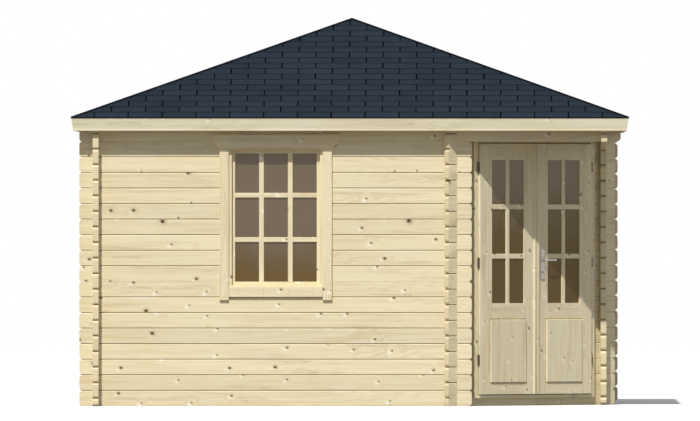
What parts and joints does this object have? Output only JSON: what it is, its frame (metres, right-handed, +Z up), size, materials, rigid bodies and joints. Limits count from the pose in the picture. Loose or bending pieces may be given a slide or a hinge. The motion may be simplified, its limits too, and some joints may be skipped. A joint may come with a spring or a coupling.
{
  "type": "log cabin summerhouse",
  "caption": "Log cabin summerhouse with a square plan, a front corner cut off by a glazed double door, a barred front window and a pyramid shingle roof that overhangs the cut corner.",
  "frame": {"origin": "on the ground, in the middle of the square plan", "axes": "+Z up, the window wall faces -Y, the door wall faces +X and -Y at 45 degrees"},
  "size_m": [4.12, 4.12, 2.8885],
  "materials": {
    "log_wood": "planed pale spruce, unpainted, matt",
    "joinery_wood": "planed pale spruce, smooth, matt",
    "fascia_wood": "planed pale spruce board, matt",
    "roof_wood": "sawn and planed spruce boards, matt",
    "floor_wood": "planed spruce boards, matt",
    "shingle": "slate-grey mineral granules on bitumen, matt",
    "hip_metal": "black painted sheet, satin",
    "steel": "zinc-plated steel, satin",
    "handle_metal": "satin nickel",
    "glass": "clear float glass with a brown tint"
  },
  "bodies": {
    "root": {"left_wall": "log_wood", "back_wall": "log_wood", "right_wall": "log_wood", "right_beam": "log_wood", "front_wall_below_window": "log_wood", "front_wall_left": "log_wood", "front_wall_right": "log_wood", "front_beam": "log_wood", "door_wall_left": "log_wood", "door_wall_right": "log_wood", "door_sill_log": "log_wood", "door_wall_header": "log_wood", "window_lining": "joinery_wood", "window_casing": "joinery_wood", "window_inner_casing": "joinery_wood", "window_sash": "joinery_wood", "window_glass": "glass", "door_jamb_left": "joinery_wood", "door_jamb_right": "joinery_wood", "door_frame_head": "joinery_wood", "door_threshold": "joinery_wood", "frame_hinges": "steel", "roof_boards_right": "roof_wood", "roof_boards_back": "roof_wood", "roof_boards_left": "roof_wood", "roof_boards_front": "roof_wood", "roof_shingles_right": "shingle", "roof_shingles_back": "shingle", "roof_shingles_left": "shingle", "roof_shingles_front": "shingle", "fascia_right": "fascia_wood", "fascia_back": "fascia_wood", "fascia_left": "fascia_wood", "fascia_front": "fascia_wood", "wall_plates": "roof_wood", "hip_rafters": "roof_wood", "hip_trim": "hip_metal", "floor_bearers": "floor_wood", "floor_boards": "floor_wood"},
    "left_leaf": {"left_leaf_frame": "joinery_wood", "left_leaf_glass": "glass", "left_leaf_panel": "joinery_wood", "left_leaf_hinges": "steel"},
    "right_leaf": {"right_leaf_frame": "joinery_wood", "right_leaf_glass": "glass", "right_leaf_panel": "joinery_wood", "right_leaf_hinges": "steel", "handle_plates": "handle_metal"},
    "lever": {"handle_lever": "handle_metal"}
  },
  "joints": [
    {"name": "left_leaf_hinge", "type": "hinge", "parent": "root", "child": "left_leaf", "pos_m": [0.95002, -1.78907, 1], "axis": [0, 0, -1], "range_deg": [0, 110]},
    {"name": "right_leaf_hinge", "type": "hinge", "parent": "root", "child": "right_leaf", "pos_m": [1.78907, -0.95002, 1], "axis": [0, 0, 1], "range_deg": [0, 110]},
    {"name": "lever_turn", "type": "hinge", "parent": "right_leaf", "child": "lever", "pos_m": [1.41954, -1.33186, 1.08], "axis": [-0.7071, 0.7071, 0], "range_deg": [0, 40], "stiffness_Nm_per_rad": 0.8, "springref_deg": -28.65}
  ]
}
